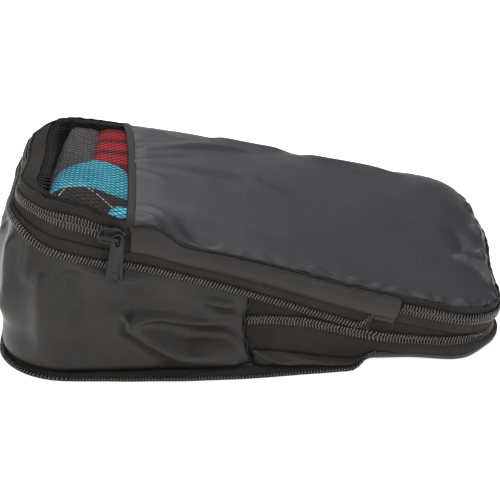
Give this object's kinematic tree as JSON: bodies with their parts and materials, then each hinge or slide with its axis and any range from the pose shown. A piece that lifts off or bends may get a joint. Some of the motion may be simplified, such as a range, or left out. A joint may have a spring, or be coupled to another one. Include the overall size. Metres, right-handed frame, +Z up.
{
  "type": "compression packing cube",
  "caption": "Soft rectangular packing cube with a zipped sloping lid, mesh window, compression zip with outer brim, and a side access zip.",
  "frame": {"origin": "centre of the base panel's underside, on the table", "axes": "+Z up; +X along the case from the tall window end to the thin end; the lid's fabric hinge is along -Y"},
  "size_m": [0.2561, 0.1839, 0.0901],
  "materials": {
    "nylon": "satin",
    "zip_tape": "matte",
    "mesh": "matte",
    "zip_coil": "satin",
    "black_metal": "satin",
    "blue_knit": "matte",
    "red_knit": "matte",
    "grey_knit": "matte",
    "brown_knit": "matte"
  },
  "bodies": {
    "base": {"base_panel": "nylon", "base_piping": "nylon", "lower_compression_tape": "zip_tape", "lower_compression_coil": "zip_coil", "gusset": "nylon", "access_upper_tape": "zip_tape", "access_upper_coil": "zip_coil", "access_lower_coil": "zip_coil", "access_lower_tape": "zip_tape", "lower_side_strip": "nylon", "brown_jumper": "brown_knit", "blue_shirt": "blue_knit", "red_shirt": "red_knit", "grey_shirt": "grey_knit"},
    "upper_frame": {"hinge_strip": "nylon", "main_lower_tape": "zip_tape", "main_lower_coil": "zip_coil", "compression_band": "zip_tape", "upper_compression_tape": "zip_tape", "upper_compression_coil": "zip_coil"},
    "lid": {"lid_panel": "nylon", "window_trim": "nylon", "window_border": "zip_tape", "mesh_window": "mesh", "lid_piping": "zip_tape", "main_upper_tape": "zip_tape", "main_upper_coil": "zip_coil"},
    "main_slider": {"main_slider": "black_metal"},
    "main_pull": {"main_pull": "black_metal"},
    "compression_slider": {"compression_slider": "black_metal"},
    "compression_pull": {"compression_pull": "black_metal"},
    "access_slider": {"access_slider": "black_metal"},
    "access_pull": {"access_pull": "black_metal"}
  },
  "joints": [
    {"name": "compression_fold", "type": "hinge", "parent": "base", "child": "upper_frame", "pos_m": [0.1165, 0, 0.0125], "axis": [0, -1, 0], "range_deg": [0, 12.9], "stiffness_Nm_per_rad": 1, "springref_deg": -14.32, "deforming": ["gusset", "access_upper_tape", "access_upper_coil", "access_lower_coil", "access_lower_tape", "lower_side_strip", "brown_jumper", "blue_shirt", "red_shirt", "grey_shirt"]},
    {"name": "lid_hinge", "type": "hinge", "parent": "upper_frame", "child": "lid", "pos_m": [0.00762, -0.0783, 0.05627], "axis": [0.9659, 0, -0.2588], "range_deg": [0, 180], "deforming": ["main_upper_tape", "main_upper_coil"]},
    {"name": "main_zip_slide", "type": "slide", "parent": "upper_frame", "child": "main_slider", "axis": [-0.9659, 0, 0.2588], "range_m": [0, 0.015]},
    {"name": "main_pull_swing", "type": "hinge", "parent": "main_slider", "child": "main_pull", "pos_m": [-0.06689, -0.0775, 0.06992], "axis": [0, -1, 0], "range_deg": [-57, 70]},
    {"name": "compression_zip_slide", "type": "slide", "parent": "base", "child": "compression_slider", "axis": [-1, 0, 0], "range_m": [0, 0.12]},
    {"name": "compression_pull_swing", "type": "hinge", "parent": "compression_slider", "child": "compression_pull", "pos_m": [0.036, 0.0899, 0.0024], "axis": [0, 0, 1], "range_deg": [-100, 0]},
    {"name": "access_zip_slide", "type": "slide", "parent": "base", "child": "access_slider", "axis": [0, -1, 0], "range_m": [0, 0.08]},
    {"name": "access_pull_swing", "type": "hinge", "parent": "access_slider", "child": "access_pull", "pos_m": [0.1185, 0.044, 0.008], "axis": [1, 0, 0], "range_deg": [0, 100]}
  ],
  "couplings": [
    {"joint": "compression_zip_slide", "follows": "compression_fold", "m_per_rad": 0.533}
  ]
}
